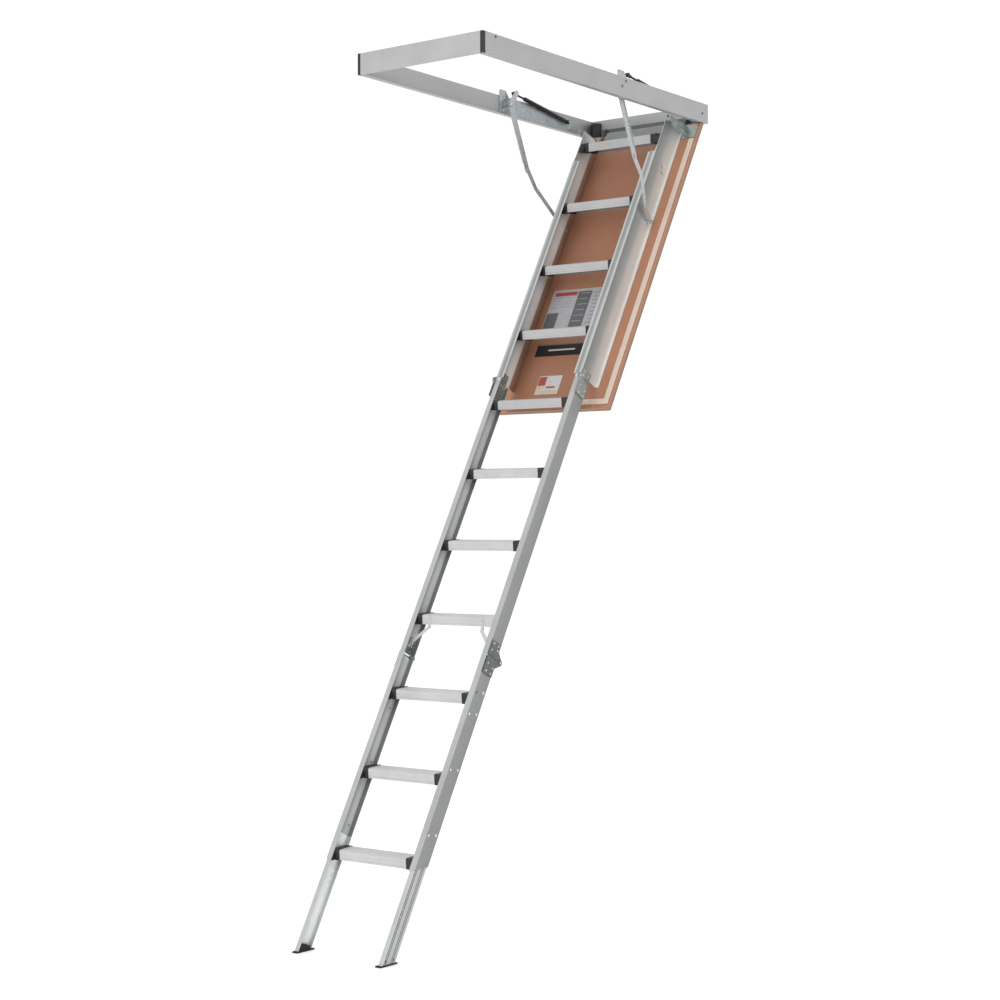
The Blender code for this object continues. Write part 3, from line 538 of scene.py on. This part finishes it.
def door_panel():
    dressed("door_face", BOARD, 0.0006)
    dressed("door_back", BOARD_BACK, 0.0006)
    dressed("door_core", CORE, 0.0004)
    dressed("door_gasket", FOAM, 0.0014)
    dressed_pair("hinge_bracket", GALVANISED, 0.0005)

    face, film, sunk = DOOR_DEPTH, 0.0003, 0.0001
    head = plate_on_slope((-0.0725, 0.008), (-0.172, 0.172), face - sunk, 0.0008)
    piece("door_head_plate", head, STRAP_STEEL, "door")
    # name, ink, layer counted from the door, span down the slope, span across
    stickers = [("sheet", TAN_INK, 1, (0.680, 0.860), (-0.074, 0.160)),
                ("sheet_print", PALE_INK, 2, (0.682, 0.858), (-0.072, 0.158)),
                ("header", RED_INK, 3, (0.692, 0.708), (0.046, 0.148)),
                ("block_middle", GREY_INK, 3, (0.692, 0.852), (-0.022, 0.040)),
                ("block_left", GREY_INK, 3, (0.784, 0.852), (0.104, 0.157)),
                ("strip", BLACK_INK, 1, (0.926, 0.978), (-0.080, 0.148)),
                ("strip_edge", DARK_INK, 2, (0.9275, 0.9290), (-0.076, 0.144)),
                ("square", WHITE_INK, 1, (1.066, 1.146), (-0.016, 0.088)),
                ("square_red", RED_INK, 2, (1.070, 1.108), (0.052, 0.086)),
                ("square_bar", RED_INK, 2, (1.112, 1.120), (0.004, 0.044)),
                ("square_left", TAN_INK, 2, (1.108, 1.124), (0.050, 0.088)),
                ("square_foot", TAN_INK, 2, (1.130, 1.142), (-0.012, 0.086))]
    for k in range(9):
        s = 0.700 + 0.017 * k
        stickers.append(("line_%d" % k, DARK_INK, 3, (s, s + 0.004), (-0.060, -0.034 - 0.004 * (k % 2))))
    for k in range(6):
        s = 0.700 + 0.025 * k
        stickers.append(("note_%d" % k, PALE_INK, 4, (s, s + 0.002), (-0.014 + 0.004 * (k % 2), 0.030)))
    for k in range(4):
        s = 0.716 + 0.014 * k
        stickers.append(("fine_%d" % k, DARK_INK, 3, (s, s + 0.0016), (0.060, 0.150 - 0.012 * (k % 3))))
    bar = rounded([(-0.0035, -0.062), (0.0035, -0.062), (0.0035, 0.062), (-0.0035, 0.062)], 0.003)
    mark = prism([(a, b + 0.030) for a, b in bar], -face + 2 * film, -face + 3 * film, "Z")
    piece("strip_bar", mark, WHITE_INK, "door", matrix=at(*world(0.952, 0.0)) @ ON_SLOPE)
    for name, look, layer, s, y in stickers:
        mesh = plate_on_slope(s, y, face - sunk - film * (layer - 1), film)
        piece("label_" + name, mesh, look, "door")


# ---- stiles and their marks ---------------------------------------------------------------------
def stiles():
    dressed("upper_stile_left", UPPER_LEFT, 0.0006)
    dressed("upper_stile_right", UPPER_RIGHT, 0.0006)
    # rolled lip along the front edge, with a shallow channel down its middle
    lip = [(0.160, 0.0001), (0.160, 0.0010), (0.1665, 0.0011), (0.1690, 0.0004), (0.1810, 0.0004),
           (0.1835, 0.0011), (0.1915, 0.0010), (0.1915, 0.0001)]
    strip = prism(lip, -1.134, -0.150, "X")
    for side, sign in SIDES.items():
        piece("upper_lip_" + side, sided(strip, sign), LIP, "door", matrix=ON_LADDER)
    for section in ("middle", "lower"):
        dressed(section + "_stile_left", LEFT, 0.0006)
        dressed(section + "_stile_right", RIGHT, 0.0006)
    dressed("leg_left", LEFT_LEG, 0.0002)
    dressed("leg_right", RIGHT_LEG, 0.0002)
    dressed_pair("shoe", RUBBER, 0.0010)
    dressed_pair("tread_brace", TREAD, 0.0005)
    # thin dark marks for the two slots in the head of each upper web, painted shade where the slots look
    # into the dark behind the web, and rivets down the lower webs
    proud = 0.0004
    outline = rounded([(-0.009, -0.0016), (0.009, -0.0016), (0.009, 0.0016), (-0.009, 0.0016)], 0.0015)
    mark, tail = prism(outline, 0, proud), dome(0.0052, 0.0014)
    for side, sign in SIDES.items():
        slots = []
        for s, dep, turn in ((0.176, 0.066, 70), (0.196, 0.074, 50)):
            place = at(*world(s, dep, sign * STILE_HALF - (0 if sign > 0 else proud)))
            slots.append((mark, place @ Matrix.Rotation(radians(turn), 4, "Y")))
        piece("web_slots_" + side, gathered(slots), HINGE_STEEL, "door")
        tails = [(tail, on_web(s, 0.047, STILE_HALF - 0.0001, sign)) for s in (2.362, 2.439, 2.638, 2.865)]
        piece("stile_rivets_" + side, gathered(tails), ZINC, "lower_section")


# ---- treads -------------------------------------------------------------------------------------
def tread_profile():
    """Side view of a tread: x back, z up, from its front top corner."""
    wall, rib, ribs, nose, heel = 0.0022, 0.0010, 12, 0.0048, 0.002
    top, foot, turn = -rib, 0.0070, -TREAD_TALL + 0.0018
    outline = [(0.0, top - nose), (0.0, -0.0145), (0.0005, -0.0150), (0.0005, -0.0156), (0.0, -0.0161),
               (0.0, -0.0262), (0.0005, -0.0267), (0.0005, -0.0273), (0.0, -0.0278), (0.0, -TREAD_TALL)]
    outline += [(foot, -TREAD_TALL), (foot, turn), (wall, turn), (wall, top - wall)]
    outline += [(TREAD_DEEP - wall, top - wall), (TREAD_DEEP - wall, turn), (TREAD_DEEP - foot, turn),
                (TREAD_DEEP - foot, -TREAD_TALL), (TREAD_DEEP, -TREAD_TALL)]
    outline += [(TREAD_DEEP - heel * (1 - cos(a)), top - heel * (1 - sin(a)))
                for a in [pi / 8 * k for k in range(5)]]
    pitch = (TREAD_DEEP - 0.010) / ribs
    for k in reversed(range(ribs)):
        x = 0.006 + pitch * (k + 0.5)
        outline += [(x + 0.0016, top), (x + 0.0010, 0.0), (x - 0.0010, 0.0), (x - 0.0016, top)]
    outline += [(nose * (1 - sin(a)), top - nose * (1 - cos(a))) for a in [pi / 12 * k for k in range(6)]]
    return outline


def end_cap(inner):
    """Moulded end cap: a collar over the tread's end and a tongue inside the stile."""
    grow, nose, heel = 0.0010, 0.0045, 0.002
    outline = [(-grow, grow - nose), (-grow, -TREAD_TALL - grow), (TREAD_DEEP + grow, -TREAD_TALL - grow),
               (TREAD_DEEP + grow, grow - heel), (TREAD_DEEP + grow - heel, grow)]
    outline += [(-grow + nose * (1 - sin(a)), grow - nose * (1 - cos(a)))
                for a in [pi / 8 * k for k in range(4)]]
    collar = prism(outline, inner, CAP_HALF)
    # the tongue is the part of the same block between the stile's flanges
    front, back = 0.0050, STILE_DEPTH - 0.0050
    slope = SLOPE - TREAD_TILT
    corners = [((dep + z * cos(slope)) / sin(slope), z)
               for dep, z in ((front, 0.0), (front, -TREAD_TALL), (back, -TREAD_TALL), (back, 0.0))]
    tongue = prism(rounded(corners, 0.0015), CAP_HALF - 0.001, TENON_HALF)
    rib = prism(rounded([(0.012, -0.006), (0.012, -0.028), (0.052, -0.028), (0.052, -0.006)], 0.003),
                CAP_HALF - 0.0002, CAP_HALF + 0.0012)
    return gathered([(collar, STILL), (tongue, STILL), (rib, STILL)])


def treads():
    step = prism(tread_profile(), -TREAD_HALF, TREAD_HALF)
    caps = {"left": end_cap(0.1485), "right": end_cap(0.1405)}
    # how far the folds set each section's treads down the slope from an even spacing
    shift = {"door": 0.0, "middle_section": 0.0139, "lower_section": 0.0076}
    rivet = lathe([(0, 0), (0, 0.0040), (-0.0008, 0.0038), (-0.0016, 0.0026), (-0.0019, 0)], 16, "X")
    for n in range(1, 12):
        node = "tread_%d" % n
        body = BODY[node]
        front = world(TREAD_FIRST + (n - 1) * TREAD_PITCH + shift[body], 0.0004)
        corner = at(*front) @ Matrix.Rotation(-TREAD_TILT, 4, "Y")
        piece("step_%d" % n, step.copy(), UPPER_TREAD if n < 6 else TREAD, body, [node], 0.0004, 40, corner)
        for side, sign in SIDES.items():
            # tread 8's right end is finished in the tread's own metal
            look = TREAD if n == 8 and side == "right" else PLASTIC
            piece("step_cap_%d_%s" % (n, side), sided(caps[side], sign), look, body, bevel=0.0006,
                  matrix=corner)
        if n == 8:
            # tabs that carry the braces' upper ends, riveted to the tread's front
            outline = rounded([(0.110, -0.046), (0.124, -0.046), (0.124, -0.006), (0.110, -0.006)], 0.003)
            tab = prism(outline, -0.0014, -0.0001, "X")
            tabs = [(sided(tab, sign), corner) for sign in SIDES.values()]
            piece("brace_tabs", gathered(tabs), TREAD, body, bevel=0.0003)
            fixings = [(rivet, corner @ at(-0.0014, y, z))
                       for y in (-0.117, 0.117) for z in (-0.013, -0.028)]
            piece("brace_rivets", gathered(fixings), ZINC, body)


# ---- folding hinges -----------------------------------------------------------------------------
LEAF_IN, LEAF_OUT = STILE_HALF + 0.0025, STILE_HALF + 0.0050


def hinge_set(name, body, pivot, far, face, pin, look):
    """A leaf with its rivets, and its pin where it carries one."""
    dressed_pair(name, look, 0.0004)
    near = pivot[0] + (0.002 if far > pivot[0] else -0.002)
    mid, way = (near + far) / 2, (1 if far > near else -1)
    spots = ((mid - 0.006 * way, 0.015), (far - 0.009 * way, 0.017), (mid + 0.002 * way, 0.045),
             (far - 0.009 * way, 0.043))
    for side, sign in SIDES.items():
        heads = [(dome(0.0048, 0.0024), on_web(s, dep, face - 0.0001, sign)) for s, dep in spots]
        if pin:
            heads.append((dome(0.0066, 0.0030), on_web(*pivot, LEAF_OUT + 0.0004, sign)))
        piece(name + "_rivets_" + side, gathered(heads), ZINC, body)


def backing(name, body, span, deps, look):
    """Plate and rivet tails on the inner side of a stile's web."""
    face = STILE_HALF - STILE_WALL
    (s0, s1), (d0, d1) = span, deps
    outline = rounded([(-s1, -d1), (-s0, -d1), (-s0, -d0), (-s1, -d0)], 0.004)
    plate = prism(outline, face - 0.0014, face - 0.0001)
    spots = [(s, dep) for s in (s0 + 0.009, (s0 + s1) / 2, s1 - 0.009) for dep in (d0 + 0.008, d1 - 0.008)]
    tail = dome(0.0036, 0.0016)
    tails = gathered([(tail, at(-s, face - 0.0013, -dep) @ facing(-1)) for s, dep in spots])
    for side, sign in SIDES.items():
        piece(name + "_plate_" + side, sided(plate, sign), look, body, bevel=0.0003,
              matrix=ON_LADDER)
        piece(name + "_tails_" + side, sided(tails, sign), ZINC, body, matrix=ON_LADDER)


def fold_hinges():
    a, b = FOLD_A, FOLD_B
    hinge_set("upper_hinge_leaf", "door", a, a[0] - 0.036, LEAF_IN, True, LEAF_STEEL)
    hinge_set("middle_top_leaf", "middle_section", a, a[0] + 0.066, LEAF_OUT, False, LEAF_STEEL)
    hinge_set("middle_foot_leaf", "middle_section", b, b[0] - 0.056, LEAF_IN, True, HINGE_STEEL)
    hinge_set("lower_hinge_leaf", "lower_section", b, b[0] + 0.062, LEAF_OUT, False, HINGE_STEEL)
    backing("upper_backing", "door", (a[0] - 0.050, a[0] - 0.002), (0.008, 0.056), LEAF_STEEL)
    backing("middle_backing", "middle_section", (a[0] + 0.003, a[0] + 0.058), (0.008, 0.054), LEAF_STEEL)
    backing("foot_backing", "middle_section", (b[0] - 0.060, b[0] - 0.003), (0.008, 0.054), HINGE_STEEL)
    # two stop straps across the lower fold, on the inside of each web
    straps = []
    for s in (b[0] - 0.0080, b[0] - 0.0190):
        outline = rounded([(-s - 0.0022, -0.053), (-s + 0.0022, -0.053), (-s + 0.0022, -0.006),
                           (-s - 0.0022, -0.006)], 0.001)
        straps.append((prism(outline, 0.1835, 0.1885), STILL))
    for side, sign in SIDES.items():
        piece("stop_strap_" + side, sided(gathered(straps), sign), HINGE_STEEL, "middle_section",
              bevel=0.0004, matrix=ON_LADDER)


def foot_bolts():
    inner = STILE_HALF - STILE_WALL - 0.0011        # on the leg's web, within the stile
    for side, sign in SIDES.items():
        heads = [(screw(0.0046, 0.0020), on_web(s, dep, inner, sign))
                 for s, dep in ((3.296, 0.012), (3.280, 0.044))]
        piece("foot_bolts_" + side, gathered(heads), HINGE_STEEL, "leg_" + side)


# ---- arms and struts ----------------------------------------------------------------------------
def arms():
    dressed_pair("upper_arm", ARM_STEEL, 0.0005)
    dressed_pair("lower_link", ARM_STEEL, 0.0004)
    dressed_pair("link_bolt", ZINC, 0.0004)
    for side, sign in SIDES.items():
        pivot = at(ARM_PIVOT[0], sign * 0.2424, ARM_PIVOT[1] + LOW) @ facing(-sign)
        post = [(dome(0.0052, 0.0030), at(x, sign * 0.2686, z + LOW) @ facing(-sign))
                for x, z in ((-0.568, 0.065), (-0.568, 0.020), (-0.30, 0.030), (-0.16, 0.020))]
        piece("bracket_rivets_" + side, gathered([(dome(0.0078, 0.0034), pivot)] + post), ZINC, "frame")


def strut_matrix(point, sign):
    angle = atan2(LEVER_TOP[1] - STRUT_PIVOT[1], LEVER_TOP[0] - STRUT_PIVOT[0])
    return at(point[0], sign * STRUT_Y, point[1] + LOW) @ Matrix.Rotation(-angle, 4, "Y")


def gas_struts():
    """Painted barrel with crimped ends, and a rod in moulded ball sockets."""
    run = hypot(LEVER_TOP[0] - STRUT_PIVOT[0], LEVER_TOP[1] - STRUT_PIVOT[1])
    end, radius, bore = 0.281, 0.0085, 0.0046
    barrel = lathe([(0.020, 0), (0.020, 0.0062), (0.021, 0.0074), (0.0235, radius), (0.255, radius),
                    (0.257, 0.0080), (0.259, radius), (0.276, radius), (0.279, 0.0078), (end, 0.0060),
                    (end, bore), (0.136, bore), (0.136, 0)], 32, "X")
    shank = lathe([(0.004, 0), (0.004, 0.0050), (0.008, 0.0062), (0.017, 0.0062), (0.0215, 0.0052),
                   (0.0215, 0)], 24, "X")
    eye = lathe([(-0.0078, 0), (-0.0078, 0.0060), (-0.0066, 0.0076), (0.0066, 0.0076), (0.0078, 0.0060),
                 (0.0078, 0)], 24)
    rod = lathe([(-(run - 0.155), 0), (-(run - 0.155), 0.0036), (-(run - 0.157), 0.0040), (-0.018, 0.0040),
                 (-0.018, 0)], 24, "X")
    for side, sign in SIDES.items():
        base, tip = strut_matrix(STRUT_PIVOT, sign), strut_matrix(LEVER_TOP, sign)
        foot = gathered([(eye, base), (shank, base)])
        socket = gathered([(eye, tip), (shank, tip @ Matrix.Rotation(pi, 4, "Z"))])
        piece("strut_barrel_" + side, barrel.copy(), STRUT, "gas_cylinders", ["gas_cylinder_" + side],
              matrix=base)
        piece("strut_foot_" + side, foot, PLASTIC, "gas_cylinders", angle=30)
        piece("strut_rod_" + side, rod.copy(), STRUT, "gas_rods", ["gas_rod_" + side], matrix=tip)
        piece("strut_socket_" + side, socket, PLASTIC, "gas_rods", angle=30)


# ---- stage --------------------------------------------------------------------------------------
def stage():
    floor_look = Look("floor", 0.8)
    floor_look.shader.inputs["Base Color"].default_value = (0.90, 0.90, 0.90, 1)
    floor_look.shader.inputs["Specular IOR Level"].default_value = 0.1
    floor_look.shader.inputs["Emission Color"].default_value = (1, 1, 1, 1)
    floor_look.shader.inputs["Emission Strength"].default_value = 0.22
    width, gap = 80, 0.0005
    bpy.ops.mesh.primitive_plane_add(size=width, location=(0, 0, LOW - FLOOR - gap))
    floor = bpy.context.object
    floor.name = "floor"
    floor.data.materials.append(floor_look.mat)


def lights():
    """Two lamps in a white room that is brightest towards +X and a little upwards."""
    sky = bpy.data.worlds.new("studio")
    scene.world = sky
    sky.use_nodes = True
    tree = sky.node_tree
    back = tree.nodes["Background"]
    ray = tree.nodes.new("ShaderNodeTexCoord").outputs["Generated"]
    dot = tree.nodes.new("ShaderNodeVectorMath")
    dot.operation = "DOT_PRODUCT"
    dot.inputs[1].default_value = (0.93, 0.05, 0.36)
    tree.links.new(ray, dot.inputs[0])
    span = tree.nodes.new("ShaderNodeMapRange")
    span.interpolation_type = "SMOOTHSTEP"
    for key, number in (("From Min", -0.30), ("From Max", 0.45), ("To Min", 0.74), ("To Max", 1.04)):
        span.inputs[key].default_value = number
    tree.links.new(dot.outputs["Value"], span.inputs["Value"])
    tree.links.new(span.outputs[0], back.inputs["Color"])
    back.inputs["Strength"].default_value = 1.0

    lamps = [("key", (-6.0, 1.0, 0.5), (-0.9, 0.0, -1.4), 3.0, 48),
             ("fill", (-2.0, -6.0, 0.8), (-0.9, 0.0, -1.2), 3.5, 26)]
    for name, place, aim, size, power in lamps:
        lamp = bpy.data.lights.new(name, "AREA")
        lamp.shape, lamp.size, lamp.energy = "DISK", size, power
        obj = bpy.data.objects.new(name, lamp)
        scene.collection.objects.link(obj)
        obj.location = place
        obj.rotation_euler = (Vector(aim) - Vector(place)).to_track_quat("-Z", "Y").to_euler()


def camera():
    lens = bpy.data.cameras.new("camera")
    obj = bpy.data.objects.new("camera", lens)
    scene.collection.objects.link(obj)
    heading = radians(35.1833)      # from +X towards +Y
    obj.location = (-6.2334, -4.2219, -1.5396 + LOW)
    obj.rotation_euler = (pi / 2, 0, heading - pi / 2)
    lens.sensor_width, lens.lens = 36.0, 69.284
    lens.shift_x, lens.shift_y = -0.1125, 0.0261
    lens.clip_end = 200
    scene.camera = obj


hatch_frame()
door_panel()
stiles()
treads()
fold_hinges()
foot_bolts()
arms()
gas_struts()
stage()
lights()
camera()
scene.view_settings.view_transform = "Standard"
